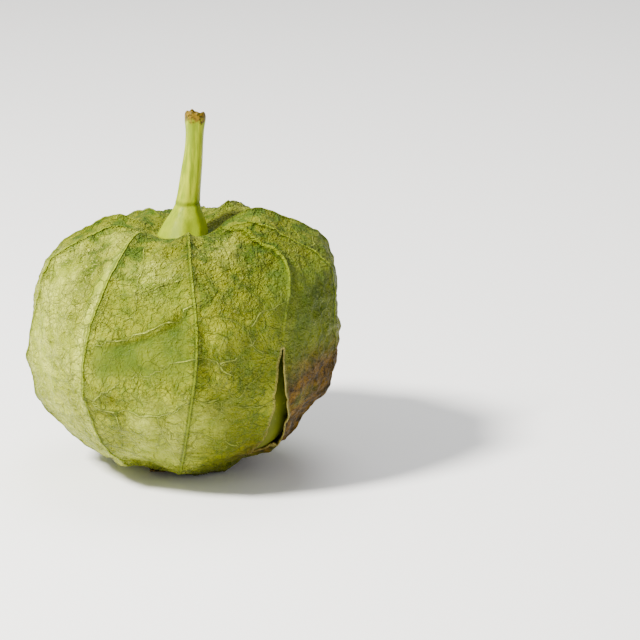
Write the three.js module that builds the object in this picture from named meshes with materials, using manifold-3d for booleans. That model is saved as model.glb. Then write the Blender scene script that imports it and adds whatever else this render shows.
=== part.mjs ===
// A tomatillo in its husk, standing upright with its stem on top.
// Three pieces: the round fruit, the thin papery husk that wraps it, and the stem they hang from.
// Millimetres, +Z up. The origin is on the resting plane, under the middle of the husk, and
// azimuths are counted in degrees from -Y, the front, towards +X.
import * as THREE from "three";
import { mergeVertices } from "three/addons/utils/BufferGeometryUtils.js";
import Module from "manifold-3d";

const wasm = await Module();
wasm.setup();

// ---- Driving dimensions ----
const BODY_RADIUS = 27.7; // the husk at its widest
const BODY_HALF_HEIGHT = 21; // half the husk's height near its axis
const BODY_MIDDLE = 23; // the height of its widest girth
const HUSK_THICKNESS = 0.6; // a stand-in for a papery skin of about 0.2 mm
const LEAN = 0.045; // how much higher the shoulder sits per mm towards +X
const LEAN_FULL_HEIGHT = 16; // below this height the lean fades out, so the base stays level

// The husk's outer meridian, from its collar under the stem to the mouth between its tips.
const HUSK_MERIDIAN = [
  [3.7, 41.6],
  [5.4, 42.0],
  [8.2, 43.4],
  [12.4, 44.8],
  [17.6, 43.2],
  [22.1, 40.7],
  [25.4, 36.3],
  [27.2, 30.4],
  [27.7, 24.4],
  [27.0, 18.2],
  [24.7, 12.6],
  [20.8, 7.6],
  [16.0, 3.8],
  [11.4, 1.2],
  [7.8, 0.0],
  [4.8, 0.0],
  [2.2, 0.9],
];
const FLAT_FROM = 14; // index of the first of the two meridian points that bound the flat base

// The fruit's meridian, from the seat of the stem to its underside.
const FRUIT_MERIDIAN = [
  [0, 38.6],
  [3.4, 38.7],
  [7.4, 39.9],
  [12.0, 41.0],
  [17.0, 40.2],
  [21.3, 37.4],
  [24.4, 33.0],
  [25.6, 27.6],
  [25.7, 22.0],
  [24.5, 16.8],
  [22.1, 12.1],
  [18.2, 8.0],
  [13.3, 4.8],
  [8.4, 2.9],
  [4.0, 2.2],
  [0, 2.1],
];

// The stem: a neck through the husk's collar, a flared foot, and a stalk that swells at its torn end.
const STEM_MERIDIAN = [
  [0, 39.0],
  [3.0, 39.0],
  [3.0, 41.8],
  [4.3, 42.3],
  [4.15, 43.3],
  [3.35, 45.0],
  [2.65, 46.4],
  [2.25, 47.6],
  [1.98, 49.5],
  [1.8, 52.1],
  [1.62, 54.8],
  [1.48, 57.3],
  [1.45, 59.3],
  [1.5, 61.0],
  [1.62, 62.8],
  [1.5, 64.1],
  [0, 64.6],
];
const STEM_FOOT = 42.3; // above this height the stalk bends
const STEM_TOP = 64.6;
const STEM_BEND_X = 2.4; // how far its end stands towards +X
const STEM_BEND_Y = 1.0; // and towards the back

// The ten ribs of the husk, as azimuths. They aren't quite evenly spaced.
const RIBS = [-79, -38, 4, 41, 78, 112, 148, 184, 217, 250];
const RIB_RIDGE_WIDTH = 2.2; // degrees

// How far a rib stands out, by latitude: 0 is the stem's end of the husk and 1 the mouth's.
const RIB_RIDGE = [
  [0.07, 0],
  [0.12, 0.25],
  [0.84, 0.25],
  [0.9, 0],
];

// How deep the husk sinks between two ribs, by latitude.
const PANEL_SAG = [
  [0.07, 0],
  [0.14, 1.3],
  [0.24, 1.3],
  [0.45, 0.55],
  [0.66, 0.45],
  [0.8, 0.6],
  [0.88, 0],
];

// Broad swellings and hollows: azimuth, latitude, spread of each, and height.
const SWELLS = [
  [88, 0.31, 40, 0.07, 2.1],
  [95, 0.15, 45, 0.05, 0.8],
  [-90, 0.13, 50, 0.05, 0.7],
  [72, 0.7, 34, 0.06, -1.2],
  [78, 0.8, 30, 0.05, 0.4],
  [-80, 0.83, 34, 0.055, 1.5],
  [215, 0.17, 50, 0.07, -0.8],
  [-88, 0.27, 35, 0.07, 1.1],
  [160, 0.45, 60, 0.2, 0.5],
];
const SWELLS_END = [0.86, 0.9]; // the latitudes over which they fade, ahead of the flat base

// The split beside the rib at 41 degrees: azimuth and height round its edge, from the top down its left
// side and up its right.
const SPLIT = [
  [40.5, 28],
  [38.2, 21],
  [36.6, 15],
  [36.0, 9],
  [38.5, 5.4],
  [44.5, 6.4],
  [52.0, 8.6],
  [47.8, 12.6],
  [43.6, 18],
  [41.2, 23],
];
const SPLIT_AZIMUTH = 42; // the direction the split is cut along
const SPLIT_WALL_RADIUS = [
  [5, 18],
  [12, 24.5],
  [18, 27.2],
  [28, 28],
];
const SPLIT_DEPTH = [12, 34]; // the cutter's nearest and furthest reach from the axis

// Fineness of the meshes.
const STEPS_PER_PANEL = 6;
const HUSK_OUTER_STEPS = 22;
const HUSK_INNER_STEPS = 14;
const FRUIT_STEPS = 20;
const FRUIT_SEGMENTS = 45;
const STEM_SEGMENTS = 20;

const TURN = 360;
const radians = THREE.MathUtils.degToRad;

// ---- Shared shape functions ----

/** A value read from [[position, value], ...] with a smooth step between the listed positions. */
function alongTable(table, position) {
  const next = table.findIndex(([at]) => at > position);
  if (next === 0) return table[0][1];
  if (next < 0) return table[table.length - 1][1];
  const [from, low] = table[next - 1];
  const [to, high] = table[next];
  return low + (high - low) * THREE.MathUtils.smoothstep(position, from, to);
}

/** The difference between two azimuths, from -180 to 180. */
function azimuthBetween(a, b) {
  return THREE.MathUtils.euclideanModulo(a - b + TURN / 2, TURN) - TURN / 2;
}

/** How far round the body a point lies, from 0 over the stem to 1 under the mouth. */
function latitudeOf(radius, height) {
  return Math.atan2(radius / BODY_RADIUS, (height - BODY_MIDDLE) / BODY_HALF_HEIGHT) / Math.PI;
}

/** Where an azimuth lies between its two neighbouring ribs, from 0 to 1. */
function shareOfPanel(azimuth) {
  const gaps = RIBS.map((rib) => azimuthBetween(azimuth, rib));
  const before = Math.min(...gaps.filter((gap) => gap >= 0));
  const after = Math.max(...gaps.filter((gap) => gap < 0));
  return before / (before - after);
}

/** How far the husk's skin stands out of its plain round body at a place. */
function huskRelief(azimuth, latitude) {
  const sag = alongTable(PANEL_SAG, latitude) * Math.sin(Math.PI * shareOfPanel(azimuth)) ** 0.8;
  const nearest = Math.min(...RIBS.map((rib) => Math.abs(azimuthBetween(azimuth, rib))));
  const ridge = alongTable(RIB_RIDGE, latitude) * Math.exp(-((nearest / RIB_RIDGE_WIDTH) ** 2));
  return ridge - sag + broadRelief(azimuth, latitude);
}

/** The broad swellings alone, which the fruit under the husk shares. */
function broadRelief(azimuth, latitude) {
  const kept = 1 - THREE.MathUtils.smoothstep(latitude, ...SWELLS_END);
  return kept * SWELLS.reduce((sum, [atAzimuth, atLatitude, wide, high, rise]) => {
    const across = azimuthBetween(azimuth, atAzimuth) / wide;
    const along = (latitude - atLatitude) / high;
    return sum + rise * Math.exp(-across * across - along * along);
  }, 0);
}

/** Moves each vertex square to the round body by relief(azimuth, latitude), then leans the whole. */
function mould(geometry, relief) {
  const place = geometry.getAttribute("position");
  for (let i = 0; i < place.count; i++) {
    const [x, y, z] = [place.getX(i), place.getY(i), place.getZ(i)];
    const radius = Math.hypot(x, y);
    const azimuth = Math.atan2(x, -y);
    const above = z - BODY_MIDDLE;
    const square = new THREE.Vector2(radius / BODY_RADIUS ** 2, above / BODY_HALF_HEIGHT ** 2).normalize();
    const out = relief(THREE.MathUtils.radToDeg(azimuth), latitudeOf(radius, z));
    const moved = radius + square.x * out;
    place.setXYZ(i, moved * Math.sin(azimuth), -moved * Math.cos(azimuth), z + square.y * out);
  }
  return lean(geometry);
}

/** Raises the side towards +X a little. The base is left level. */
function lean(geometry) {
  const place = geometry.getAttribute("position");
  for (let i = 0; i < place.count; i++) {
    const share = THREE.MathUtils.smoothstep(place.getZ(i), 0, LEAN_FULL_HEIGHT);
    place.setZ(i, place.getZ(i) + LEAN * share * place.getX(i));
  }
  return geometry;
}

/** [radius, height] pairs as points. */
function pointsOf(pairs) {
  return pairs.map(([radius, height]) => new THREE.Vector2(radius, height));
}

/** A smooth curve through [radius, height] pairs, as evenly spaced points. */
function meridian(pairs, steps) {
  return new THREE.SplineCurve(pointsOf(pairs)).getSpacedPoints(steps);
}

/** A solid of revolution about Z, with its azimuth 0 at the front. */
function turned(points, segments) {
  return new THREE.LatheGeometry(points, segments).rotateX(Math.PI / 2);
}

// ---- Husk ----

/** The meridian of the husk's outer face: a curve down to the flat base, the flat, and the mouth's lip. */
function huskOuter(steps) {
  const round = meridian(HUSK_MERIDIAN.slice(0, FLAT_FROM + 1), steps);
  return [...round, ...pointsOf(HUSK_MERIDIAN.slice(FLAT_FROM + 1))];
}

/** The same line set inwards by the husk's thickness. */
function huskInner(steps) {
  const outer = huskOuter(steps);
  return outer.map((point, i) => {
    const before = outer[Math.max(i - 1, 0)];
    const after = outer[Math.min(i + 1, outer.length - 1)];
    const along = after.clone().sub(before).normalize();
    return new THREE.Vector2(point.x + along.y * HUSK_THICKNESS, point.y - along.x * HUSK_THICKNESS);
  });
}

/** Gathers the evenly spaced segments of a turned husk so that its ribs fall on their edges. */
function gatherToRibs(geometry) {
  const place = geometry.getAttribute("position");
  for (let i = 0; i < place.count; i++) {
    const radius = Math.hypot(place.getX(i), place.getY(i));
    const even = Math.atan2(place.getX(i), -place.getY(i)) / (2 * Math.PI);
    const turn = THREE.MathUtils.euclideanModulo(even, 1);
    const panel = Math.round(turn * RIBS.length * STEPS_PER_PANEL) / STEPS_PER_PANEL;
    const index = Math.floor(panel) % RIBS.length;
    const width = THREE.MathUtils.euclideanModulo(RIBS[(index + 1) % RIBS.length] - RIBS[index], TURN);
    const azimuth = radians(RIBS[index] + (panel - Math.floor(panel)) * width);
    place.setX(i, radius * Math.sin(azimuth));
    place.setY(i, -radius * Math.cos(azimuth));
  }
  return geometry;
}

/** The solid that cuts the split: its outline, pushed through the wall along the split's own direction. */
function splitCutter() {
  const outline = SPLIT.map(([azimuth, height]) => {
    const across = alongTable(SPLIT_WALL_RADIUS, height) * Math.sin(radians(azimuth - SPLIT_AZIMUTH));
    return new THREE.Vector2(across, height);
  });
  const [near, far] = SPLIT_DEPTH;
  const pushed = { depth: far - near, bevelEnabled: false };
  const cutter = new THREE.ExtrudeGeometry(new THREE.Shape(outline), pushed);
  cutter.rotateX(Math.PI / 2).translate(0, -near, 0);
  return cutter.rotateZ(radians(SPLIT_AZIMUTH));
}

function huskGeometry() {
  const loop = [...huskOuter(HUSK_OUTER_STEPS), ...huskInner(HUSK_INNER_STEPS).reverse()];
  loop.push(loop[0].clone());
  const ring = turned(loop.reverse(), RIBS.length * STEPS_PER_PANEL);
  const shell = mould(gatherToRibs(ring), huskRelief);
  return fromSolid(solid(shell).subtract(solid(splitCutter())));
}

// ---- Fruit ----

/** Five faint furrows run down the fruit's shoulders. */
function fruitRelief(azimuth, latitude) {
  const furrow = 0.25 * THREE.MathUtils.smoothstep(0.5 - latitude, 0, 0.35);
  return 0.8 * broadRelief(azimuth, latitude) - furrow * (0.5 + 0.5 * Math.cos(radians(5 * (azimuth - 22))));
}

function fruitGeometry() {
  return mould(turned(meridian(FRUIT_MERIDIAN, FRUIT_STEPS).reverse(), FRUIT_SEGMENTS), fruitRelief);
}

// ---- Stem ----

/** The stalk is faintly five-sided, and bends towards +X above its foot. */
function stemGeometry() {
  const stem = turned(pointsOf(STEM_MERIDIAN), STEM_SEGMENTS);
  const place = stem.getAttribute("position");
  for (let i = 0; i < place.count; i++) {
    const [x, y, z] = [place.getX(i), place.getY(i), place.getZ(i)];
    const angled = 1 + 0.04 * Math.cos(5 * Math.atan2(x, -y));
    const rise = THREE.MathUtils.clamp((z - STEM_FOOT) / (STEM_TOP - STEM_FOOT), 0, 1);
    const bend = Math.sin(rise * Math.PI * 0.5);
    place.setX(i, x * angled + STEM_BEND_X * bend);
    place.setY(i, y * angled + STEM_BEND_Y * bend);
  }
  return lean(stem);
}

// ---- Solids and meshes ----

/** A closed geometry as a manifold-3d solid. */
function solid(geometry) {
  const bare = geometry.clone();
  bare.deleteAttribute("normal");
  bare.deleteAttribute("uv");
  const merged = mergeVertices(bare, 1e-4);
  return new wasm.Manifold(
    new wasm.Mesh({
      numProp: 3,
      vertProperties: merged.getAttribute("position").array,
      triVerts: new Uint32Array(merged.index.array),
    }),
  );
}

/** A manifold-3d solid as a geometry. */
function fromSolid(made) {
  const mesh = made.getMesh();
  const geometry = new THREE.BufferGeometry();
  geometry.setAttribute("position", new THREE.BufferAttribute(mesh.vertProperties, mesh.numProp));
  geometry.setIndex(new THREE.BufferAttribute(mesh.triVerts, 1));
  geometry.computeVertexNormals();
  return geometry;
}

function piece(name, geometry, color, roughness) {
  const material = new THREE.MeshStandardMaterial({ color, roughness, metalness: 0 });
  const mesh = new THREE.Mesh(geometry, material);
  mesh.name = name;
  return mesh;
}

const tomatillo = new THREE.Group();
tomatillo.add(
  piece("husk", huskGeometry(), 0xa3ad62, 0.75),
  piece("fruit", fruitGeometry(), 0x6f8a1e, 0.3),
  piece("stem", stemGeometry(), 0xb9bd4e, 0.5),
);

export default tomatillo;
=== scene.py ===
"""A tomatillo in its papery husk: fruit, husk and stem, with a plain floor, soft light and a camera.

Shapes are worked out in millimetres and handed to Blender in metres. Azimuths are in degrees from
-Y, the front, towards +X. A latitude runs from 0 over the stem to 1 under the husk's mouth.
"""

import math

import bpy
import numpy as np
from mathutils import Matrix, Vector
from mathutils.kdtree import KDTree


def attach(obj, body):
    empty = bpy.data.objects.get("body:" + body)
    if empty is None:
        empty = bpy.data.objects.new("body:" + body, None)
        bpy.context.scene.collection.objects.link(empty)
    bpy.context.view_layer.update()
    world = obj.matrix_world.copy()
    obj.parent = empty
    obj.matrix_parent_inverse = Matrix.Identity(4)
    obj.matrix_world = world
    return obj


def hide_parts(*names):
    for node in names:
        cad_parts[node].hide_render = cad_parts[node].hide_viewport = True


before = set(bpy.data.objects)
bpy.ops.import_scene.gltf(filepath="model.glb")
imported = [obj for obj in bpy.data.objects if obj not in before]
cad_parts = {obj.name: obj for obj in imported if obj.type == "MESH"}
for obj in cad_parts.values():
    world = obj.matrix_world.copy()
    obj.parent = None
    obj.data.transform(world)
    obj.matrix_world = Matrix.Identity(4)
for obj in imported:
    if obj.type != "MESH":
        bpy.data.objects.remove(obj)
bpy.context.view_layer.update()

MM = 0.001
rng = np.random.default_rng(11)

# ---------------------------------------------------------------- the husk's plain round body

BODY_RADIUS = 27.7
BODY_HALF_HEIGHT = 21.0
BODY_MIDDLE = 23.0
LEAN = 0.045
LEAN_FULL_HEIGHT = 16.0
HUSK_THICKNESS = 0.32
LOWEST = 0.02  # the husk's outside never dips below this height, which keeps it over the floor
FAR = 9.0  # stands for a distance that is out of reach
VEIN_REACH = 4
LATTICE_SIZE = 32
CURVE_STEPS = 24

HUSK_MERIDIAN = [
    (3.3, 41.95),
    (5.2, 42.15),
    (8.2, 43.8),
    (12.4, 44.8),
    (17.5, 43.1),
    (22.0, 40.4),
    (25.4, 36.3),
    (27.2, 30.4),
    (27.7, 24.4),
    (27.0, 18.2),
    (24.7, 12.6),
    (20.8, 7.6),
    (16.0, 3.8),
    (11.4, 1.2),
    (7.8, 0.12),
    (4.8, 0.2),
    (2.2, 1.2),
]
# Broad swellings and hollows: azimuth, latitude, how wide, how high, and how far they rise.
SWELLS = [
    (88, 0.32, 40, 0.06, 1.9),
    (95, 0.14, 50, 0.045, 0.7),
    (-90, 0.13, 50, 0.05, 0.7),
    (72, 0.7, 34, 0.06, -1.2),
    (78, 0.8, 30, 0.05, 0.4),
    (-80, 0.83, 34, 0.055, 0.9),
    (-45, 0.88, 30, 0.05, -0.5),
    (50, 0.85, 26, 0.06, -1.5),
    (215, 0.17, 50, 0.07, -0.8),
    (-88, 0.27, 35, 0.07, 1.1),
    (160, 0.45, 60, 0.2, 0.5),
]
# How far the panels sink between the ribs, at a few latitudes.
PANEL_SAG = [(0.07, 0), (0.14, 1.1), (0.24, 1.1), (0.45, 0.5), (0.66, 0.4), (0.8, 0.6), (0.9, 0.1)]

# Each rib's azimuth at a few latitudes. The first is at the back, and they go round by the front.
RIBS = [
    [(0.06, -184), (0.3, -177), (0.6, -176), (1.0, -182)],
    [(0.06, -150), (0.3, -143), (0.6, -145), (1.0, -150)],
    [(0.06, -114), (0.3, -109), (0.6, -112), (1.0, -112)],
    [(0.06, -76), (0.3, -73), (0.6, -80), (1.0, -84)],
    [(0.06, -42), (0.2, -33), (0.5, -36), (0.7, -36), (1.0, -44)],
    [(0.06, 8), (0.2, 6), (0.4, 7), (0.6, 4), (0.8, 0), (1.0, -6)],
    [(0.06, 34), (0.2, 52), (0.4, 42), (0.55, 41), (0.8, 58), (1.0, 50)],
    [(0.06, 60), (0.2, 72), (0.45, 74), (0.7, 80), (1.0, 74)],
    [(0.06, 104), (0.3, 108), (0.6, 114), (1.0, 108)],
    [(0.06, 140), (0.3, 146), (0.6, 148), (1.0, 142)],
]
RIB_STRENGTH = [1.0, 0.8, 1.0, 0.9, 1.0, 1.1, 0.8, 1.0, 0.9, 1.0]
SPLIT_RIB = 6

# The main side veins. Each is an arc in the panel between two ribs: the rib at the panel's left, where
# it starts and where it ends as (share of the way across, latitude), how far it bows towards the
# mouth, and its strength.
LEFT_PANEL = 3
FRONT_PANEL = 4
RIGHT_PANEL = 5
MAIN_VEINS = [
    (FRONT_PANEL, (1.0, 0.3), (0.1, 0.4), 0.01, 1.2),
    (FRONT_PANEL, (0.3, 0.15), (0.4, 0.33), 0.0, 1.0),
    (FRONT_PANEL, (0.15, 0.28), (1.0, 0.2), 0.02, 0.9),
    (FRONT_PANEL, (0.0, 0.55), (1.0, 0.57), 0.04, 1.4),
    (FRONT_PANEL, (0.1, 0.55), (1.0, 0.44), -0.02, 0.8),
    (FRONT_PANEL, (0.0, 0.7), (0.6, 0.8), 0.0, 0.8),
    (FRONT_PANEL, (0.3, 0.6), (0.4, 0.75), 0.0, 0.7),
    (FRONT_PANEL, (0.7, 0.6), (0.75, 0.7), 0.0, 0.7),
    (LEFT_PANEL, (1.0, 0.3), (0.6, 0.35), -0.01, 0.7),
    (LEFT_PANEL, (0.6, 0.35), (1.0, 0.36), 0.01, 0.7),
    (LEFT_PANEL, (0.0, 0.25), (0.5, 0.45), 0.0, 0.6),
    (LEFT_PANEL, (0.0, 0.5), (1.0, 0.48), 0.04, 0.6),
    (LEFT_PANEL, (0.0, 0.65), (1.0, 0.6), 0.02, 0.6),
    (RIGHT_PANEL, (0.0, 0.22), (0.5, 0.27), 0.0, 0.6),
    (RIGHT_PANEL, (0.0, 0.35), (0.6, 0.4), -0.02, 0.6),
    (RIGHT_PANEL, (0.1, 0.44), (0.4, 0.49), 0.0, 0.8),
    (RIGHT_PANEL, (0.25, 0.46), (0.4, 0.45), 0.0, 0.8),
    (RIGHT_PANEL, (0.6, 0.4), (0.7, 0.45), 0.0, 0.8),
    (RIGHT_PANEL, (0.95, 0.34), (0.6, 0.37), -0.01, 0.7),
    (RIGHT_PANEL, (0.0, 0.54), (1.0, 0.59), 0.03, 1.1),
    (RIGHT_PANEL, (0.9, 0.48), (0.3, 0.58), 0.0, 0.5),
    (RIGHT_PANEL, (0.0, 0.64), (0.5, 0.74), 0.0, 0.8),
    (RIGHT_PANEL, (0.0, 0.74), (0.3, 0.8), 0.0, 0.8),
]
VEIN_STEPS = 6

# The split: latitudes of its top, the low corner on its left and the one on its right, and how
# many degrees it spans at a few latitudes.
SPLIT_TOP = 0.45
SPLIT_LEFT_END = 0.81
SPLIT_RIGHT_END = 0.765
SPLIT_SPAN = [
    (0.0, 1.2),
    (0.4, 1.0),
    (0.45, 1.0),
    (0.52, 1.8),
    (0.6, 4.5),
    (0.7, 10.0),
    (0.8, 17.0),
    (0.9, 15.0),
    (1.0, 9.0),
]

# ---------------------------------------------------------------- small mathematical helpers


def smoothstep(low, high, x):
    t = np.clip((x - low) / (high - low), 0, 1)
    return t * t * (3 - 2 * t)


def bump_at(x, middle, width):
    return np.exp(-(((x - middle) / width) ** 2))


def table(pairs, x):
    """Values read from (position, value) pairs, with smooth steps between the positions."""
    at = np.array([p for p, _ in pairs], float)
    value = np.array([v for _, v in pairs], float)
    i = np.clip(np.searchsorted(at, x, side="right") - 1, 0, len(at) - 2)
    t = smoothstep(0, 1, np.clip((x - at[i]) / (at[i + 1] - at[i]), 0, 1))
    return value[i] + (value[i + 1] - value[i]) * t


def hermite(pairs, x):
    """A smooth curve through (position, value) pairs."""
    at = np.array([p for p, _ in pairs], float)
    value = np.array([v for _, v in pairs], float)
    slope = np.gradient(value, at)
    i = np.clip(np.searchsorted(at, x, side="right") - 1, 0, len(at) - 2)
    h = at[i + 1] - at[i]
    t = np.clip((x - at[i]) / h, 0, 1)
    a = (2 * t**3 - 3 * t**2 + 1) * value[i] + (t**3 - 2 * t**2 + t) * h * slope[i]
    return a + (-2 * t**3 + 3 * t**2) * value[i + 1] + (t**3 - t**2) * h * slope[i + 1]


def catmull(points, count):
    """count points, evenly spaced along a Catmull-Rom curve through the given ones."""
    p = np.array(points, float)
    p = np.vstack([2 * p[0] - p[1], p, 2 * p[-1] - p[-2]])
    t = np.linspace(0, 1, CURVE_STEPS, endpoint=False)[:, None]
    parts = []
    for a, b, c, d in zip(p[:-3], p[1:-2], p[2:-1], p[3:]):
        cubic = -a + 3 * b - 3 * c + d
        parts.append(0.5 * (2 * b + (c - a) * t + (2 * a - 5 * b + 4 * c - d) * t**2 + cubic * t**3))
    fine = np.vstack(parts + [p[-2][None]])
    run = np.concatenate([[0], np.cumsum(np.linalg.norm(np.diff(fine, axis=0), axis=1))])
    even = np.linspace(0, run[-1], count)
    return np.stack([np.interp(even, run, fine[:, k]) for k in range(p.shape[1])], -1)


LATTICE = rng.normal(size=(LATTICE_SIZE, LATTICE_SIZE, LATTICE_SIZE))


def noise(points, size, seed=0):
    """Smooth noise of about unit height at (n, 3) points, with features of the given size."""
    q = points / size + np.array([seed * 3.7, seed * 5.3, seed * 7.9])
    cell = np.floor(q).astype(int)
    f = q - cell
    f = f * f * f * (f * (6 * f - 15) + 10)
    total = 0
    for dx in (0, 1):
        for dy in (0, 1):
            for dz in (0, 1):
                weight = np.abs(1 - dx - f[:, 0]) * np.abs(1 - dy - f[:, 1]) * np.abs(1 - dz - f[:, 2])
                corner = (cell + [dx, dy, dz]) % LATTICE_SIZE
                total = total + weight * LATTICE[corner[:, 0], corner[:, 1], corner[:, 2]]
    return total


def fractal(points, size, seed=0, octaves=3):
    return sum(noise(points, size / 2**k, seed + k) / 2**k for k in range(octaves))


def shaken_by(points, amount, size, seed):
    """The points, each moved a little by smooth noise."""
    return points + amount * np.stack([noise(points, size, seed + k) for k in range(3)], -1)


def latitude_of(radius, height):
    return np.arctan2(radius / BODY_RADIUS, (height - BODY_MIDDLE) / BODY_HALF_HEIGHT) / math.pi


def azimuth_between(a, b):
    return (a - b + 180) % 360 - 180


def body_point(azimuth, latitude):
    """The plain round body: (n, 3) points and the directions square to it."""
    merid = catmull(HUSK_MERIDIAN, 400)
    lat = latitude_of(merid[:, 0], merid[:, 1])
    order = np.argsort(lat)
    r = np.interp(latitude, lat[order], merid[order, 0])
    z = np.interp(latitude, lat[order], merid[order, 1])
    phi = np.radians(azimuth)
    nr = r / BODY_RADIUS**2
    nz = (z - BODY_MIDDLE) / BODY_HALF_HEIGHT**2
    size = np.hypot(nr, nz)
    nr, nz = nr / size, nz / size
    point = np.stack([r * np.sin(phi), -r * np.cos(phi), z], -1)
    square = np.stack([nr * np.sin(phi), -nr * np.cos(phi), nz], -1)
    return point, square


def lean(points):
    points = points.copy()
    points[:, 2] += LEAN * smoothstep(0, LEAN_FULL_HEIGHT, points[:, 2]) * points[:, 0]
    return points


def broad_relief(azimuth, latitude):
    total = 0
    for at_azimuth, at_latitude, wide, high, rise in SWELLS:
        across = azimuth_between(azimuth, at_azimuth) / wide
        along = (latitude - at_latitude) / high
        total = total + rise * np.exp(-across * across - along * along)
    return total * (1 - smoothstep(0.86, 0.9, latitude))


def make_mesh(name, vertices, faces, attributes):
    """A smooth-shaded object in metres from millimetre vertices, with its float attributes."""
    mesh = bpy.data.meshes.new(name)
    mesh.from_pydata((np.asarray(vertices) * MM).tolist(), [], faces)
    mesh.validate()
    mesh.update()
    for key, values in attributes.items():
        layer = mesh.attributes.new(key, "FLOAT", "POINT")
        layer.data.foreach_set("value", np.asarray(values, np.float32))
    mesh.polygons.foreach_set("use_smooth", [True] * len(mesh.polygons))
    piece = bpy.data.objects.new(name, mesh)
    bpy.context.scene.collection.objects.link(piece)
    return piece


def distance_field(points, squares, polyline):
    """How far (n, 3) points lie from a polyline, positive on its one side and negative on the other."""
    best = np.full(len(points), FAR)
    low, high = polyline.min(0) - VEIN_REACH, polyline.max(0) + VEIN_REACH
    near = np.all((points > low) & (points < high), axis=1)
    p = points[near]
    part = np.full(len(p), FAR)
    for a, b in zip(polyline[:-1], polyline[1:]):
        ab = b - a
        t = np.clip(((p - a) @ ab) / (ab @ ab + 1e-9), 0, 1)
        off = p - a - t[:, None] * ab
        far = np.linalg.norm(off, axis=1)
        side = np.where(np.einsum("ij,ij->i", np.cross(squares[near], ab), off) < 0, -1, 1)
        part = np.where(far < np.abs(part), far * side, part)
    best[near] = part
    return best


# ---------------------------------------------------------------- husk

ROWS = 152
PANEL_COLUMNS = 32
SPLIT_COLUMNS = 8


def husk_grid():
    """Azimuth and latitude of each point of the husk's grid, row by row from the collar down."""
    merid = catmull(HUSK_MERIDIAN, ROWS)
    lat = latitude_of(merid[:, 0], merid[:, 1])
    ribs = np.stack([hermite(rib, lat) for rib in RIBS], 1)
    ribs = np.column_stack([ribs, ribs[:, 0] + 360])
    columns = []
    marks = []
    for k in range(len(RIBS)):
        left, right = ribs[:, k], ribs[:, k + 1]
        marks.append(len(columns))
        if k == SPLIT_RIB - 1:
            edge = right - table(SPLIT_SPAN, lat)
            plain = PANEL_COLUMNS - SPLIT_COLUMNS
            columns += [left + (edge - left) * i / plain for i in range(plain)]
            columns += [edge + (right - edge) * i / SPLIT_COLUMNS for i in range(SPLIT_COLUMNS)]
        else:
            columns += [left + (right - left) * i / PANEL_COLUMNS for i in range(PANEL_COLUMNS)]
    azimuth = np.stack(columns, 1)
    return azimuth, np.repeat(lat[:, None], azimuth.shape[1], 1), marks


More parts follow.
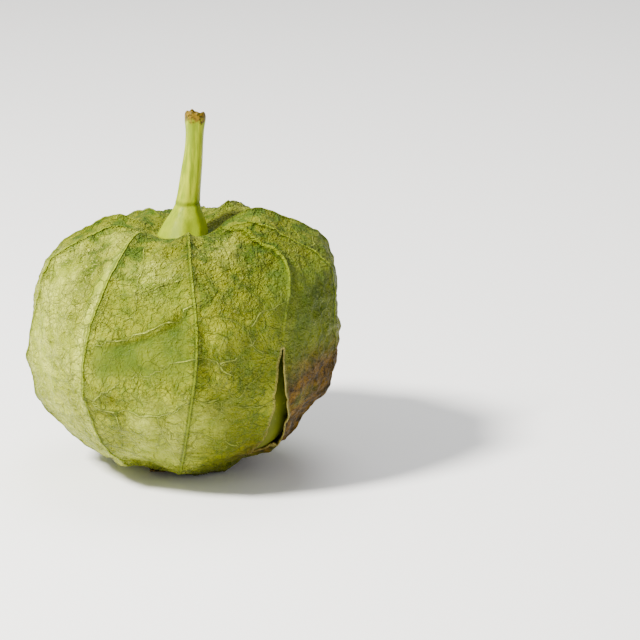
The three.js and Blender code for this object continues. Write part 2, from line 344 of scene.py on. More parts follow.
def build_husk():
    azimuth, latitude, marks = husk_grid()
    rows, cols = azimuth.shape
    az, lat = azimuth.ravel(), latitude.ravel()
    plain, square = body_point(az, lat)
    share = np.tile(np.concatenate([np.arange(PANEL_COLUMNS) / PANEL_COLUMNS] * len(RIBS)), rows)
    panel = np.tile(np.repeat(np.arange(len(RIBS)), PANEL_COLUMNS), rows)

    # Broad shape: panels that sink between ribs, swellings, and soft crumples.
    hollow = np.sin(math.pi * share) ** 0.8
    before_split, after_split = panel == SPLIT_RIB - 1, panel == SPLIT_RIB
    pair = np.where(before_split, share / 2, (1 + share) / 2)
    joined = (before_split | after_split) * (1 - smoothstep(0.42, 0.54, lat)) * smoothstep(0.26, 0.34, lat)
    hollow += 0.8 * joined * (np.sin(math.pi * pair) ** 0.8 - hollow)
    sag = table(PANEL_SAG, lat) * hollow
    # The rib over the split fades between the shoulder and the top of the split.
    faint = 1 - 0.75 * smoothstep(0.24, 0.32, lat) * (1 - smoothstep(0.44, 0.52, lat))
    ends = smoothstep(0.06, 0.12, lat) * (1 - smoothstep(0.9, 0.97, lat))
    crumple = fractal(plain * [1, 1, 0.7], 9.0, 1) * 0.38 + fractal(plain, 4.2, 5) * 0.17
    top = 1 - smoothstep(0.2, 0.34, lat)
    relief = broad_relief(az, lat) - sag + crumple * ends * (0.8 - 0.1 * top)
    relief -= 0.35 * smooth_patch(az, lat)

    # Ribs: a thin crest on a low keel, with a shallow furrow at its right.
    crest = np.zeros(len(az))
    keel = np.zeros(len(az))
    furrow = np.zeros(len(az))
    rib_side = np.full(len(az), FAR)
    rib_near = np.zeros(len(az))
    ring = np.linalg.norm(plain[:, :2], axis=1)
    rib_ends = smoothstep(0.07, 0.15, lat) * (1 - smoothstep(0.76, 0.9, lat))
    for k in range(len(RIBS)):
        path = hermite(RIBS[k], lat)
        strength = RIB_STRENGTH[k] * (faint if k == SPLIT_RIB else 1)
        off = np.radians(azimuth_between(az, path)) * ring
        closer = np.abs(off) < np.abs(rib_side)
        rib_side = np.where(closer, off, rib_side)
        rib_near = np.maximum(rib_near, strength * np.exp(-((off / 1.3) ** 2)))
        crest = np.maximum(crest, strength * np.exp(-((off / 0.42) ** 2)))
        keel = np.maximum(keel, strength * np.exp(-(np.where(off < 0, off / 2.6, off / 1.0) ** 2)))
        furrow = np.maximum(furrow, strength * np.exp(-(((off - 0.95) / 0.5) ** 2)))
    relief += rib_ends * (0.22 * crest + 0.24 * keel - 0.14 * furrow)

    # Side veins.
    vein_side = np.full(len(az), FAR)
    vein_near = np.zeros(len(az))
    shaken = shaken_by(plain, 0.5, 2.6, 30)
    main_veins = [(arc_in_panel(*arc), weight) for *arc, weight in MAIN_VEINS]
    for path, weight in main_veins + scattered_veins():
        line, _ = body_point(*catmull(path, 30).T)
        d = distance_field(shaken, square, line)
        vein_side = np.where(np.abs(d) < np.abs(vein_side), d, vein_side)
        vein_near = np.maximum(vein_near, weight * np.exp(-((d / 1.1) ** 2)))
    vein_near = np.clip(vein_near, 0, 1.4)

    # A net of veinlets round cells a few millimetres across, each cell a small pillow.
    net, pillow = cells(shaken, 3.1, 900)
    small, dimple = cells(shaken_by(plain, 0.3, 1.5, 40), 1.6, 3400)
    crinkle = 0.45 + 0.55 * smoothstep(-0.5, 0.7, fractal(plain, 9.0, 50, 2))
    band = azimuth_between(az, hermite(RIBS[FRONT_PANEL], lat))
    smooth_band = smoothstep(-11, -6, band) * smoothstep(1, -1, band) * (1 - smoothstep(0.34, 0.48, lat))
    crinkle = crinkle * (1 - 0.8 * smooth_patch(az, lat)) * (1 + 0.4 * top) * (1 - 0.7 * smooth_band)
    relief += ends * 0.26 * vein_near * np.exp(-((vein_side / 0.45) ** 2))
    relief += ends * crinkle * (0.16 * net - 0.24 * pillow + 0.09 * small - 0.1 * dimple)
    relief += ends * crinkle * 0.14 * fractal(plain, 1.9, 60, 2)

    outer = plain + square * relief[:, None]

    # The flaps beside the split stand a little off the fruit and curl.
    beside = azimuth_between(az, hermite(RIBS[SPLIT_RIB], lat))
    open_range = smoothstep(SPLIT_TOP - 0.02, 0.62, lat) * (1 - smoothstep(0.8, 0.88, lat))
    right_flap = smoothstep(-1, 0.2, beside) * (1 - smoothstep(4, 22, beside))
    span = table(SPLIT_SPAN, lat)
    left_flap = smoothstep(-span - 9, -span, beside) * (1 - smoothstep(-span, -span + 2, beside))
    outer += square * (open_range * (0.5 * right_flap + 0.25 * left_flap))[:, None]
    outer = lean(outer)
    outer[:, 2] = np.maximum(outer[:, 2], LOWEST)
    inner = outer - square * HUSK_THICKNESS

    # Faces of both sides and of every open edge. The split has none, and its lower edge is ragged.
    index = np.arange(rows * cols).reshape(rows, cols)
    faces = []
    first = marks[SPLIT_RIB - 1] + PANEL_COLUMNS - SPLIT_COLUMNS
    limits = (SPLIT_TOP, SPLIT_LEFT_END, SPLIT_RIGHT_END)
    top_row, left_row, right_row = [int(np.argmin(np.abs(latitude[:, 0] - limit))) for limit in limits]
    ragged = rng.integers(-1, 2, SPLIT_COLUMNS)
    missing = set()
    for i in range(SPLIT_COLUMNS):
        end = round(left_row + (right_row - left_row) * (i + 0.5) / SPLIT_COLUMNS) + int(ragged[i])
        missing |= {(row, first + i) for row in range(top_row, end)}
    total = rows * cols
    kept = [(r, c) for r in range(rows - 1) for c in range(cols) if (r, c) not in missing]
    edges = {}
    for r, c in kept:
        n = (c + 1) % cols
        a, b, d, e = index[r, c], index[r + 1, c], index[r + 1, n], index[r, n]
        faces.append((a, b, d, e))
        faces.append((e + total, d + total, b + total, a + total))
        for u, v in ((a, b), (b, d), (d, e), (e, a)):
            if (v, u) in edges:
                del edges[(v, u)]
            else:
                edges[(u, v)] = True
    faces += [(v, u, u + total, v + total) for u, v in edges]

    torn = np.zeros(len(az))
    for u, v in edges:
        torn[[u, v]] = 1
    rim = KDTree(int(torn.sum()))
    for n, i in enumerate(np.flatnonzero(torn)):
        rim.insert(Vector(outer[i]), n)
    rim.balance()
    close = np.full(len(az), FAR)
    for i in np.flatnonzero(lat > 0.4):
        close[i] = rim.find(Vector(outer[i]))[2]
    past_split = az - hermite(RIBS[SPLIT_RIB], lat)
    edge = np.exp(-((close / 0.3) ** 2)) * np.where(past_split < -0.5, 0.6, 1)

    # How brown the skin is: dried on the right flap, the split's lower edge and the mouth; on the right flap the
    # dark brown is partly painted shade.
    dry = smoothstep(-0.5, 2.5, past_split) * (1 - smoothstep(84, 112, az)) * smoothstep(0.44, 0.58, lat)
    dry = np.maximum(dry, smoothstep(0.86, 0.98, lat))
    dry = np.maximum(dry, bump_at(az, 52, 16) * bump_at(lat, 0.8, 0.05))
    dry = np.clip(dry * (1.2 + 0.3 * noise(plain, 4.0, 70)), 0, 1)

    # How pale the skin is: paler tissue in cloudy patches low down; painted light on the left panels, on a band at
    # the lit left side of the rib and in two patches near the top; and a paler patch at the back of the top.
    pale = bump_at(az, -62, 26) * (1 - 0.4 * smoothstep(0.1, 0.24, 0.34 - lat))
    pale = np.maximum(pale, np.where(band < 0, 1, 0) * smoothstep(-9, -3, band) * smoothstep(0.12, 0.2, lat))
    left_half = smoothstep(112, 82, np.abs(azimuth_between(az, -80)))
    cloudy = smoothstep(0.47, 0.6, lat) * smoothstep(-0.9, 0.6, noise(plain, 6.0, 80))
    pale = np.maximum(pale, 0.7 * left_half * cloudy)
    pale = np.maximum(pale, 0.5 * bump_at(azimuth_between(az, 150), 0, 40) * bump_at(lat, 0.12, 0.05))
    # Painted light: a highlight where light catches the crinkles at the front of the top, and a lift where the
    # stem's shadow falls.
    pale = np.maximum(pale, bump_at(az, -12, 15) * bump_at(lat, 0.23, 0.06))
    pale = np.maximum(pale, 0.7 * bump_at(az, 26, 18) * bump_at(lat, 0.16, 0.05))
    pale = np.clip(pale, 0, 1)
    lush = smooth_patch(az, lat)
    # Painted shade: the right side darker where less light falls, and a darker band just above the crossing fold;
    # both are kept with the greener smooth patch.
    shade = smoothstep(24, 48, az) * (1 - smoothstep(80, 120, az)) * bump_at(lat, 0.36, 0.14)
    shade_above_fold = 0.55 * bump_at(az, -14, 15) * bump_at(lat, 0.32, 0.04)
    lush = np.clip(np.maximum(lush, np.maximum(shade, shade_above_fold)), 0, 1)

    inside = np.concatenate([np.zeros(total), np.ones(total)])
    points = np.vstack([outer, inner])
    fields = dict(rib_side=rib_side, rib_near=rib_near * rib_ends, vein_side=vein_side, vein_near=vein_near)
    fields.update(dry=dry, pale=pale, lush=lush, edge=edge, crinkle=crinkle, top=top)
    fields = {key: np.concatenate([value, value]) for key, value in fields.items()}
    fields["inside"] = inside
    return make_mesh("husk_skin", points, faces, fields)


def smooth_patch(az, lat):
    """The smoother, greener skin below the crossing fold, between two ribs at the front."""
    fold = np.interp(az, [-34, -22, -7, 6], [0.4, 0.387, 0.352, 0.305])
    across = smoothstep(-35, -30, az) * (1 - smoothstep(2, 6, az))
    return across * smoothstep(0.0, 0.02, lat - fold) * (1 - smoothstep(0.46, 0.54, lat))


def across_panel(panel, share, latitude):
    """The azimuth a share of the way from a rib to the next one."""
    left = float(hermite(RIBS[panel], np.array(latitude)))
    right = float(hermite(RIBS[(panel + 1) % len(RIBS)], np.array(latitude)))
    return left + (right - left) % 360 * share


def arc_in_panel(panel, start, end, bow):
    """A vein's (azimuth, latitude) points, from its start to its end as (share, latitude)."""
    path = []
    for step in np.linspace(0, 1, VEIN_STEPS):
        share = start[0] + (end[0] - start[0]) * step
        latitude = start[1] + (end[1] - start[1]) * step + bow * math.sin(math.pi * step)
        path.append((across_panel(panel, share, latitude), latitude))
    return path


def scattered_veins():
    """Side veins for the rest of the husk: they leave a rib, arch down and run towards the next."""
    made = []
    for panel in range(len(RIBS)):
        front = panel in (LEFT_PANEL, FRONT_PANEL, RIGHT_PANEL)
        for latitude in np.arange(0.16, 0.86, 0.17 if front else 0.11):
            begin = latitude + rng.uniform(-0.03, 0.03)
            drop = rng.uniform(0.03, 0.1) * (1 if rng.random() < 0.7 else -0.5)
            bend = rng.uniform(-0.025, 0.045)
            weight = rng.uniform(0.35, 0.75) * (0.45 if front else 1)
            reach = rng.uniform(0.55, 1.0)
            root, tip = (0, reach) if rng.random() < 0.5 else (1, 1 - reach)
            made.append((arc_in_panel(panel, (root, begin), (tip, begin + drop * reach), bend), weight))
    return made


def cells(points, size, count):
    """Voronoi cells over the husk: closeness to an edge between two, and depth inside a cell."""
    z = rng.uniform(-1, 1, count)
    turn = rng.uniform(0, 360, count)
    seeds, _ = body_point(turn, np.degrees(np.arccos(z)) / 180)
    tree = KDTree(count)
    for i, seed in enumerate(seeds):
        tree.insert(Vector(seed), i)
    tree.balance()
    near = np.array([[hit[2] for hit in tree.find_n(Vector(p), 2)] for p in points])
    gap = near[:, 1] - near[:, 0]
    return np.exp(-((gap / (0.17 * size)) ** 2)), np.clip(1 - near[:, 0] / (0.55 * size), 0, 1)


husk = build_husk()
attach(husk, "root")
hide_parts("husk")

# The husk's own five tips, dried and bent outwards under it: azimuth, length, width and upward curl.
TIPS = [
    (-36, 4.6, 2.6, 0.75),
    (24, 3.2, 2.4, 0.4),
    (104, 4.0, 2.8, 0.6),
    (172, 3.4, 2.2, 0.5),
    (-112, 4.2, 2.6, 0.7),
]
TIP_ROOT = 6.2
TIP_THICKNESS = 0.2


def build_tips():
    vertices = []
    faces = []
    along, across = 12, 7
    for azimuth, length, width, curl in TIPS:
        phi = math.radians(azimuth)
        out = np.array([math.sin(phi), -math.cos(phi), 0])
        side = np.array([math.cos(phi), math.sin(phi), 0])
        start = len(vertices)
        for level in (TIP_THICKNESS, 0.0):
            for i in range(along):
                share = i / (along - 1)
                half = 0.5 * width * (1 - share**1.6) + 0.09
                for j in range(across):
                    place = 2 * j / (across - 1) - 1
                    wave = 0.12 * math.sin(7 * share + azimuth) * place
                    sideways = half * place + 0.5 * share**2 * math.sin(azimuth)
                    point = out * (TIP_ROOT + length * share) + side * sideways
                    point[2] = 0.03 + level + curl * share**2 + share * (0.25 * place**2 + wave + 0.12)
                    vertices.append(point)
        grid = np.arange(2 * along * across).reshape(2, along, across) + start
        for i in range(along - 1):
            for j in range(across - 1):
                faces.append((grid[0, i, j], grid[0, i, j + 1], grid[0, i + 1, j + 1], grid[0, i + 1, j]))
                faces.append((grid[1, i + 1, j], grid[1, i + 1, j + 1], grid[1, i, j + 1], grid[1, i, j]))
        rim = [(0, j) for j in range(across - 1)] + [(i, across - 1) for i in range(along - 1)]
        rim += [(along - 1, j) for j in range(across - 1, 0, -1)] + [(i, 0) for i in range(along - 1, 0, -1)]
        for (a, b), (c, d) in zip(rim, rim[1:] + rim[:1]):
            faces.append((grid[0, a, b], grid[1, a, b], grid[1, c, d], grid[0, c, d]))
    return make_mesh("husk_tips", vertices, [tuple(int(v) for v in face) for face in faces], {})


tips = build_tips()
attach(tips, "root")

# ---------------------------------------------------------------- fruit

FRUIT_MERIDIAN = [
    (0.001, 38.5),
    (2.0, 38.5),
    (3.6, 38.8),
    (7.4, 39.9),
    (12.0, 40.9),
    (17.0, 40.1),
    (21.3, 37.3),
    (24.3, 33.0),
    (25.5, 27.6),
    (25.6, 22.0),
    (24.6, 16.6),
    (22.3, 11.8),
    (18.4, 7.6),
    (13.4, 4.5),
    (8.4, 2.8),
    (4.0, 2.2),
    (1.2, 2.3),
    (0.001, 2.4),
]


def turned(meridian, segments, relief):
    """A closed turned solid. relief(azimuth, points) moves each point out along the radius."""
    rows = len(meridian)
    phi = np.linspace(0, 2 * math.pi, segments, endpoint=False)
    r = np.repeat(meridian[1:-1, 0][:, None], segments, 1)
    z = np.repeat(meridian[1:-1, 1][:, None], segments, 1)
    a = np.repeat(phi[None], rows - 2, 0)
    flat = np.stack([r * np.sin(a), -r * np.cos(a), z], -1).reshape(-1, 3)
    flat = relief(np.degrees(a).ravel(), flat)
    ends = np.array([[0, 0, meridian[0, 1]], [0, 0, meridian[-1, 1]]])
    index = np.arange((rows - 2) * segments).reshape(rows - 2, segments)
    faces = []
    for c in range(segments):
        n = (c + 1) % segments
        faces += [(index[k, c], index[k + 1, c], index[k + 1, n], index[k, n]) for k in range(rows - 3)]
        faces.append((len(flat), index[0, c], index[0, n]))
        faces.append((len(flat) + 1, index[-1, n], index[-1, c]))
    return np.vstack([flat, ends]), faces


def build_fruit():
    def relief(azimuth, points):
        lat = latitude_of(np.linalg.norm(points[:, :2], axis=1), points[:, 2])
        out = 0.8 * broad_relief(azimuth, lat)
        out = out + 1.3 * bump_at(azimuth_between(azimuth, 50), 0, 24) * bump_at(lat, 0.77, 0.08)
        out = out - 0.25 * smoothstep(0, 0.35, 0.5 - lat) * (0.5 + 0.5 * np.cos(np.radians(5 * (azimuth - 22))))
        out = out + 0.08 * noise(points, 7.0, 90) * smoothstep(0.06, 0.12, lat)
        _, square = body_point(azimuth, lat)
        return points + square * out[:, None]

    points, faces = turned(catmull(FRUIT_MERIDIAN, 90), 160, relief)
    return make_mesh("fruit_skin", lean(points), faces, {})


fruit = build_fruit()
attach(fruit, "root")
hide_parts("fruit")

# ---------------------------------------------------------------- stem

STEM_MERIDIAN = [
    (0.001, 39.0),
    (2.9, 39.0),
    (3.0, 41.7),
    (4.35, 42.1),
    (4.2, 43.1),
    (3.45, 44.9),
    (2.72, 46.3),
    (2.25, 47.45),
    (2.12, 47.75),
    (2.16, 48.1),
    (2.0, 49.5),
    (1.88, 52.1),
    (1.74, 54.8),
    (1.6, 57.3),
    (1.56, 59.3),
    (1.62, 61.0),
    (1.8, 62.6),
    (1.76, 63.7),
    (1.35, 64.1),
    (0.9, 63.3),
    (0.001, 63.0),
]
STEM_FOOT = 42.3
STEM_TOP = 64.6
STEM_BEND = (2.4, 1.0)

# Torn fibres that stand up from the stalk's end: azimuth and size.
FIBRES = [(20, 0.3), (75, 0.25), (140, 0.4), (210, 0.25), (300, 0.45)]
FIBRE_RING = 1.3
FIBRE_FOOT = 63.9
FIBRE_HEIGHT_MARK = 64.5  # the height that colours them like the torn end
FIBRE_STEPS = 4
FIBRE_SIDES = 6


def build_stem():
    def relief(azimuth, points):
        z = points[:, 2]
        stalk = smoothstep(43, 48, z)
        coarse = np.cos(np.radians(5 * azimuth + 30 + 2 * z)) * 0.04
        ridges = coarse + np.cos(np.radians(9 * azimuth + 8 * z)) * 0.012
        lumps = 0.03 * noise(points * [1, 1, 0.3], 1.6, 100)
        flutes = (1 - stalk) * 0.008 * np.cos(np.radians(10 * azimuth))
        swell = 1 + (ridges * (0.4 + 0.6 * stalk) + flutes + lumps)
        moved = points.copy()
        moved[:, :2] *= swell[:, None]
        # The torn end: an uneven rim.
        tip = smoothstep(62.6, 63.8, z) * (np.linalg.norm(points[:, :2], axis=1) > 0.8)
        moved[:, 2] += tip * (0.35 * np.cos(np.radians(azimuth + 60)) + 0.14 * noise(moved, 0.6, 110))
        rise = np.clip((moved[:, 2] - STEM_FOOT) / (STEM_TOP - STEM_FOOT), 0, 1.1)
        bend = np.sin(rise * math.pi / 2)
        moved[:, 0] += STEM_BEND[0] * bend
        moved[:, 1] += STEM_BEND[1] * bend
        return moved

    points, faces = turned(catmull(STEM_MERIDIAN, 150)[::-1], 72, relief)
    points[-2:, 0] += [STEM_BEND[0], 0]
    points[-2:, 1] += [STEM_BEND[1], 0]
    points = lean(points)
    height = points[:, 2].copy()
    for azimuth, size in FIBRES:
        phi = math.radians(azimuth)
        x = STEM_BEND[0] + FIBRE_RING * math.sin(phi)
        y = STEM_BEND[1] - FIBRE_RING * math.cos(phi)
        base = np.array([x, y, FIBRE_FOOT])
        ring = len(points)
        tube = []
        for step in range(FIBRE_STEPS + 1):
            share = step / FIBRE_STEPS
            middle = base + np.array([0.4 * share**2 * math.sin(azimuth), 0.2 * share, 0.75 * size * share - 0.25])
            for corner in range(FIBRE_SIDES):
                turn = corner * 2 * math.pi / FIBRE_SIDES
                tube.append(middle + (0.11 * (1 - share) + 0.012) * np.array([math.cos(turn), math.sin(turn), 0]))
        points = np.vstack([points, tube])
        height = np.concatenate([height, np.full(len(tube), FIBRE_HEIGHT_MARK)])
        for step in range(FIBRE_STEPS):
            for corner in range(FIBRE_SIDES):
                n = (corner + 1) % FIBRE_SIDES
                a = ring + step * FIBRE_SIDES
                faces.append((a + corner, a + n, a + FIBRE_SIDES + n, a + FIBRE_SIDES + corner))
        faces.append(tuple(ring + FIBRE_STEPS * FIBRE_SIDES + corner for corner in range(FIBRE_SIDES)))
        faces.append(tuple(ring + corner for corner in reversed(range(FIBRE_SIDES))))
    return make_mesh("stem_stalk", points, faces, {"height": height})


stem = build_stem()
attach(stem, "root")
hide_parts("stem")

# ---------------------------------------------------------------- materials


class Nodes:
    """A short way to build a material's node tree."""

    def __init__(self, name):
        self.material = bpy.data.materials.new(name)
        self.material.use_nodes = True
        self.tree = self.material.node_tree
        self.shader = self.tree.nodes["Principled BSDF"]
        coordinates = self.tree.nodes.new("ShaderNodeTexCoord")
        self.place = coordinates.outputs["Object"]

    def link(self, value, socket):
        if isinstance(value, bpy.types.NodeSocket):
            self.tree.links.new(value, socket)
        else:
            socket.default_value = value

    def attribute(self, name):
        node = self.tree.nodes.new("ShaderNodeAttribute")
        node.attribute_name = name
        return node.outputs["Fac"]

    def math(self, operation, a, b=0.0, clamp=False):
        node = self.tree.nodes.new("ShaderNodeMath")
        node.operation = operation
        node.use_clamp = clamp
        self.link(a, node.inputs[0])
        self.link(b, node.inputs[1])
        return node.outputs[0]

    def remap(self, value, low, high, out_low=0.0, out_high=1.0):
        node = self.tree.nodes.new("ShaderNodeMapRange")
        node.interpolation_type = "SMOOTHSTEP"
        self.link(value, node.inputs["Value"])
        for key, number in (("From Min", low), ("From Max", high), ("To Min", out_low), ("To Max", out_high)):
            node.inputs[key].default_value = number
        return node.outputs["Result"]

    def noise(self, size_mm, detail=3.0, rough=0.55, stretch=(1, 1, 1)):
        mapping = self.tree.nodes.new("ShaderNodeMapping")
        mapping.inputs["Scale"].default_value = [s / (size_mm * MM) for s in stretch]
        self.link(self.place, mapping.inputs["Vector"])
        node = self.tree.nodes.new("ShaderNodeTexNoise")
        node.inputs["Scale"].default_value = 1.0
        node.inputs["Detail"].default_value = detail
        node.inputs["Roughness"].default_value = rough
        self.link(mapping.outputs[0], node.inputs["Vector"])
        return node.outputs["Fac"]

    def cells(self, size_mm):
        mapping = self.tree.nodes.new("ShaderNodeMapping")
        mapping.inputs["Scale"].default_value = [1 / (size_mm * MM)] * 3
        self.link(self.place, mapping.inputs["Vector"])
        warp = self.tree.nodes.new("ShaderNodeTexNoise")
        warp.inputs["Scale"].default_value = 1.4
        self.link(mapping.outputs[0], warp.inputs["Vector"])
        mix = self.tree.nodes.new("ShaderNodeVectorMath")
        mix.operation = "MULTIPLY_ADD"
        mix.inputs[1].default_value = (0.7, 0.7, 0.7)
        self.link(warp.outputs["Color"], mix.inputs[0])
        self.link(mapping.outputs[0], mix.inputs[2])
        node = self.tree.nodes.new("ShaderNodeTexVoronoi")
        node.feature = "DISTANCE_TO_EDGE"
        node.inputs["Scale"].default_value = 1.0
        self.link(mix.outputs[0], node.inputs["Vector"])
        return node.outputs["Distance"]

    def mix(self, share, a, b):
        node = self.tree.nodes.new("ShaderNodeMix")
        node.data_type = "RGBA"
        self.link(share, node.inputs["Factor"])
        for value, socket in ((a, node.inputs[6]), (b, node.inputs[7])):
            self.link(value if isinstance(value, bpy.types.NodeSocket) else colour(*value), socket)
        return node.outputs[2]

    def mottle(self, size_mm, detail, dark, light, low=0.35, high=0.65):
        """A colour that wanders between two, in patches of the given size."""
        return self.mix(self.remap(self.noise(size_mm, detail), low, high), dark, light)

    def bump(self, height, depth_mm, strength):
        node = self.tree.nodes.new("ShaderNodeBump")
        node.inputs["Strength"].default_value = strength
        node.inputs["Distance"].default_value = depth_mm * MM
        self.link(height, node.inputs["Height"])
        return node.outputs[0]

    def finish(self, piece, colour_socket, roughness, normal, **constants):
        self.link(colour_socket, self.shader.inputs["Base Color"])
        self.link(roughness, self.shader.inputs["Roughness"])
        self.link(normal, self.shader.inputs["Normal"])
        for key, value in constants.items():
            self.shader.inputs[key.replace("_", " ")].default_value = value
        piece.data.materials.clear()
        piece.data.materials.append(self.material)


def colour(red, green, blue):
    """A colour given as sRGB from 0 to 255, made linear."""
    linear = []
    for value in (red, green, blue):
        share = value / 255
        linear.append(share / 12.92 if share <= 0.04045 else ((share + 0.055) / 1.055) ** 2.4)
    return (*linear, 1.0)


def husk_material():
    n = Nodes("husk_paper")
    pale, lush, top, dry = (n.attribute(key) for key in ("pale", "lush", "top", "dry"))
    crinkle = n.attribute("crinkle")

    # Lines: ribs and side veins from the mesh, and a net of two finer orders.
    rib_off = n.math("ABSOLUTE", n.attribute("rib_side"))
    rib = n.math("MULTIPLY", n.remap(rib_off, 0.12, 0.3, 1, 0), n.attribute("rib_near"), True)
    rib_edge_shade = n.math("MULTIPLY", n.remap(rib_off, 0.22, 0.75, 1, 0), n.attribute("rib_near"), True)
    vein_off = n.math("ABSOLUTE", n.attribute("vein_side"))
    vein = n.math("MULTIPLY", n.remap(vein_off, 0.04, 0.18, 1, 0), n.attribute("vein_near"), True)
    vein_edge_shade = n.math("MULTIPLY", n.remap(vein_off, 0.18, 0.6, 1, 0), n.attribute("vein_near"), True)
    net = n.remap(n.cells(3.0), 0.0, 0.06, 1, 0)
    net = n.math("MULTIPLY", net, n.remap(n.noise(7, 2), 0.36, 0.6, 0.15, 1))
    net = n.math("MULTIPLY", net, n.remap(lush, 0.0, 1.0, 1, 0.4))
    fine = n.remap(n.cells(1.15), 0.0, 0.13, 1, 0)
    fine = n.math("MULTIPLY", fine, n.remap(n.noise(6, 2), 0.36, 0.62, 0.1, 1))
    fine = n.math("MULTIPLY", fine, n.remap(lush, 0.0, 1.0, 1, 0.35))

    base = n.mottle(7, 4, (104, 112, 3), (142, 148, 12), 0.34, 0.66)
    base = n.mix(n.remap(n.noise(2.0, 4, 0.6), 0.42, 0.66, 0, 0.7), base, (72, 94, 2))
    # Light green where the skin is paler, and as painted light on the lit side and in its highlights.
    base = n.mix(n.math("MULTIPLY", pale, 0.85), base, n.mottle(3, 4, (154, 167, 38), (200, 208, 78)))
    # Dark green where the skin is greener and smoother, and as painted shade on the right side and at the fold.
    base = n.mix(n.math("MULTIPLY", lush, 0.8), base, n.mottle(5, 3, (62, 84, 0), (86, 100, 2)))
    green_top = n.math("MULTIPLY", top, n.remap(n.noise(4, 4), 0.44, 0.6, 0, 0.75))
    base = n.mix(green_top, base, (50, 82, 3))
    base = n.mix(n.math("MULTIPLY", fine, 0.34), base, (60, 82, 0))
    base = n.mix(n.math("MULTIPLY", net, 0.42), base, (58, 80, 0))
    # Painted highlights: pale specks on the crinkles, strongest on the pale and lit parts.
    painted_glint = n.remap(n.noise(0.5, 3, 0.7), 0.54, 0.68, 0, 0.75)
    painted_glint = n.math("MULTIPLY", painted_glint, n.remap(pale, 0.0, 1.0, 0.3, 1))
    base = n.mix(n.math("MULTIPLY", painted_glint, crinkle, True), base, (206, 211, 100))
    # Painted shade: darker green along both sides of the side veins, where their relief casts shade.
    base = n.mix(n.math("MULTIPLY", vein_edge_shade, 0.5), base, (54, 76, 0))
    base = n.mix(n.math("MULTIPLY", vein, 0.85), base, (178, 190, 72))
    # Painted shade: darker green along both sides of the ribs.
    base = n.mix(n.math("MULTIPLY", rib_edge_shade, 0.6), base, (50, 72, 0))
    base = n.mix(n.math("MULTIPLY", rib, 0.85), base, (142, 158, 30))
    # Brown of dried skin; on the right flap its darkness is partly painted shade.
    brown = n.mottle(1.6, 4, (46, 30, 0), (112, 80, 0))
    base = n.mix(n.math("MULTIPLY", dry, 0.97, True), base, brown)
    base = n.mix(n.math("MULTIPLY", n.attribute("edge"), 0.7, True), base, (204, 184, 110))
    base = n.mix(n.attribute("inside"), base, n.mix(n.noise(3), (140, 130, 40), (104, 98, 22)))

    grain = n.math("ADD", n.noise(0.5, 3, 0.6), n.math("MULTIPLY", n.noise(1.3, 3), 1.4))
    grain = n.math("MULTIPLY", grain, n.math("ADD", n.math("MULTIPLY", crinkle, 1.25), 0.12))
    lines = n.math("ADD", n.math("MULTIPLY", net, 0.3), n.math("MULTIPLY", fine, 0.22))
    lines = n.math("ADD", lines, n.math("ADD", n.math("MULTIPLY", rib, 0.7), n.math("MULTIPLY", vein, 0.8)))
    normal = n.bump(n.math("ADD", grain, lines), 1.05, 1.0)
    rough = n.remap(n.noise(1.4, 3), 0.3, 0.7, 0.42, 0.6)
    n.finish(husk, base, rough, normal, Specular_IOR_Level=0.16)
    translucent = n.tree.nodes.new("ShaderNodeBsdfTranslucent")
    n.link(base, translucent.inputs["Color"])
    n.link(normal, translucent.inputs["Normal"])
    both = n.tree.nodes.new("ShaderNodeMixShader")
    both.inputs[0].default_value = 0.1
    n.link(n.shader.outputs[0], both.inputs[1])
    n.link(translucent.outputs[0], both.inputs[2])
    n.link(both.outputs[0], n.tree.nodes["Material Output"].inputs["Surface"])


def tips_material():
    n = Nodes("husk_tips_dry")
    base = n.mottle(1.2, 4, (52, 34, 8), (126, 98, 36))
    normal = n.bump(n.noise(0.4, 3, 0.6), 0.12, 0.8)
    n.finish(tips, base, n.remap(n.noise(0.8), 0.3, 0.7, 0.5, 0.75), normal, Specular_IOR_Level=0.3)


def fruit_material():
    n = Nodes("fruit_waxy_skin")
    # Painted shade: the skin is coloured a dark olive, far darker than the fruit's own bright green, standing in
    # for the shade inside the husk.
    base = n.mottle(14, 3, (62, 74, 3), (88, 94, 5))
    base = n.mix(n.remap(n.noise(0.9, 2), 0.62, 0.74, 0, 0.3), base, (150, 158, 50))
    normal = n.bump(n.noise(1.3, 3), 0.05, 0.4)
    rough = n.remap(n.noise(5, 3), 0.3, 0.7, 0.42, 0.55)
    n.finish(fruit, base, rough, normal, Specular_IOR_Level=0.2, Subsurface_Weight=0.05)
    n.shader.inputs["Subsurface Radius"].default_value = (0.004, 0.005, 0.001)
    n.shader.inputs["Subsurface Scale"].default_value = 0.4


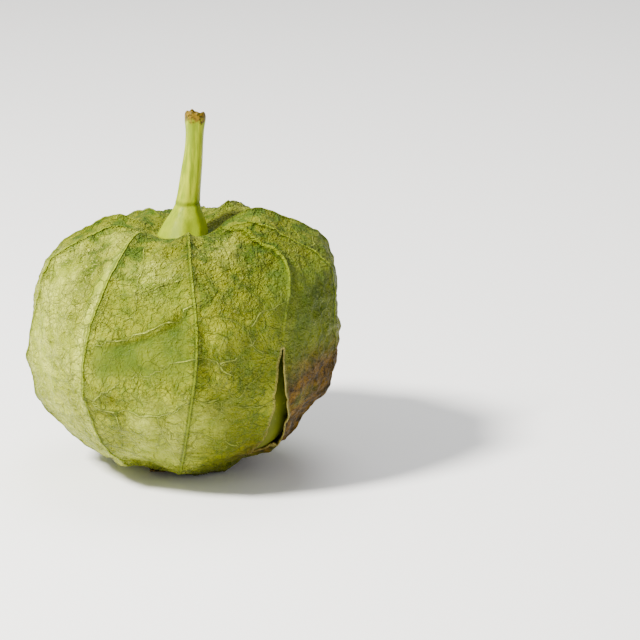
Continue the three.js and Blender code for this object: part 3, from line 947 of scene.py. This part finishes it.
def stem_material():
    n = Nodes("stem_green")
    height = n.attribute("height")
    streak = n.noise(0.9, 3, 0.55, (1, 1, 0.12))
    base = n.mix(n.remap(streak, 0.36, 0.66), (112, 130, 0), (160, 170, 8))
    base = n.mix(n.remap(n.noise(2.4, 3, 0.5, (1, 1, 0.3)), 0.4, 0.7, 0, 0.6), base, (104, 128, 0))
    base = n.mix(n.remap(height, 48.5, 44.5, 0, 0.7), base, (128, 144, 0))
    ring = n.math("MULTIPLY", n.remap(height, 47.3, 47.9), n.remap(height, 48.7, 48.1))
    base = n.mix(n.math("MULTIPLY", ring, 0.55), base, (74, 92, 0))
    ragged = n.math("ADD", height, n.math("MULTIPLY", n.math("SUBTRACT", n.noise(0.9, 3), 0.5), 3.4))
    torn_end = n.remap(ragged, 62.1, 63.2, 0, 0.92)
    base = n.mix(torn_end, base, n.mottle(0.4, 3, (44, 26, 2), (112, 84, 18), 0.4, 0.6))
    bumps = n.math("ADD", streak, n.math("MULTIPLY", n.noise(0.25, 3), 0.35))
    normal = n.bump(bumps, 0.09, 0.55)
    rough = n.remap(n.noise(1.0, 2), 0.3, 0.7, 0.38, 0.56)
    n.finish(stem, base, rough, normal, Specular_IOR_Level=0.1)


husk_material()
tips_material()
fruit_material()
stem_material()

# ---------------------------------------------------------------- floor, light and camera


FLOOR_HALF_SIZE = 3.0
CAMERA_AIM_MM = (24.3, 0.0, 26.4)
CAMERA_RISE_DEGREES = 16
CAMERA_DISTANCE_MM = 600
LENS_MM = 189
LIGHT_AIM = (0, 0, 0.025)
WORLD_STRENGTH = 0.56


def build_floor():
    mesh = bpy.data.meshes.new("floor")
    half = FLOOR_HALF_SIZE
    mesh.from_pydata([(-half, -half, 0), (half, -half, 0), (half, half, 0), (-half, half, 0)], [], [(0, 1, 2, 3)])
    floor = bpy.data.objects.new("floor", mesh)
    bpy.context.scene.collection.objects.link(floor)
    material = bpy.data.materials.new("floor_white")
    material.use_nodes = True
    shader = material.node_tree.nodes["Principled BSDF"]
    shader.inputs["Base Color"].default_value = (0.92, 0.92, 0.92, 1)
    shader.inputs["Roughness"].default_value = 0.9
    shader.inputs["Specular IOR Level"].default_value = 0.1
    mesh.materials.append(material)


def area_light(name, place, target, size, power, tint=(1, 1, 1)):
    data = bpy.data.lights.new(name, "AREA")
    data.shape = "DISK"
    data.size = size
    data.energy = power
    data.color = tint
    light = bpy.data.objects.new(name, data)
    light.location = place
    light.rotation_euler = (Vector(target) - Vector(place)).to_track_quat("-Z", "Y").to_euler()
    bpy.context.scene.collection.objects.link(light)


def build_camera():
    aim = Vector(CAMERA_AIM_MM) * MM
    rise = math.radians(CAMERA_RISE_DEGREES)
    distance = CAMERA_DISTANCE_MM * MM
    data = bpy.data.cameras.new("camera")
    data.lens = LENS_MM
    data.sensor_width = 36
    data.clip_start = 0.01
    camera = bpy.data.objects.new("camera", data)
    camera.location = aim + distance * Vector((0, -math.cos(rise), math.sin(rise)))
    camera.rotation_euler = (math.pi / 2 - rise, 0, 0)
    bpy.context.scene.collection.objects.link(camera)
    bpy.context.scene.camera = camera


build_floor()
area_light("key", (-0.34, -0.2, 0.46), LIGHT_AIM, 0.12, 13.8, (1.0, 0.97, 0.9))
area_light("fill", (0.5, -0.35, 0.2), LIGHT_AIM, 0.4, 0.3)
area_light("top", (0.05, 0.25, 0.6), LIGHT_AIM, 0.4, 2.5)
world = bpy.data.worlds.new("studio")
world.use_nodes = True
world.node_tree.nodes["Background"].inputs["Color"].default_value = (1, 1, 1, 1)
world.node_tree.nodes["Background"].inputs["Strength"].default_value = WORLD_STRENGTH
bpy.context.scene.world = world
build_camera()
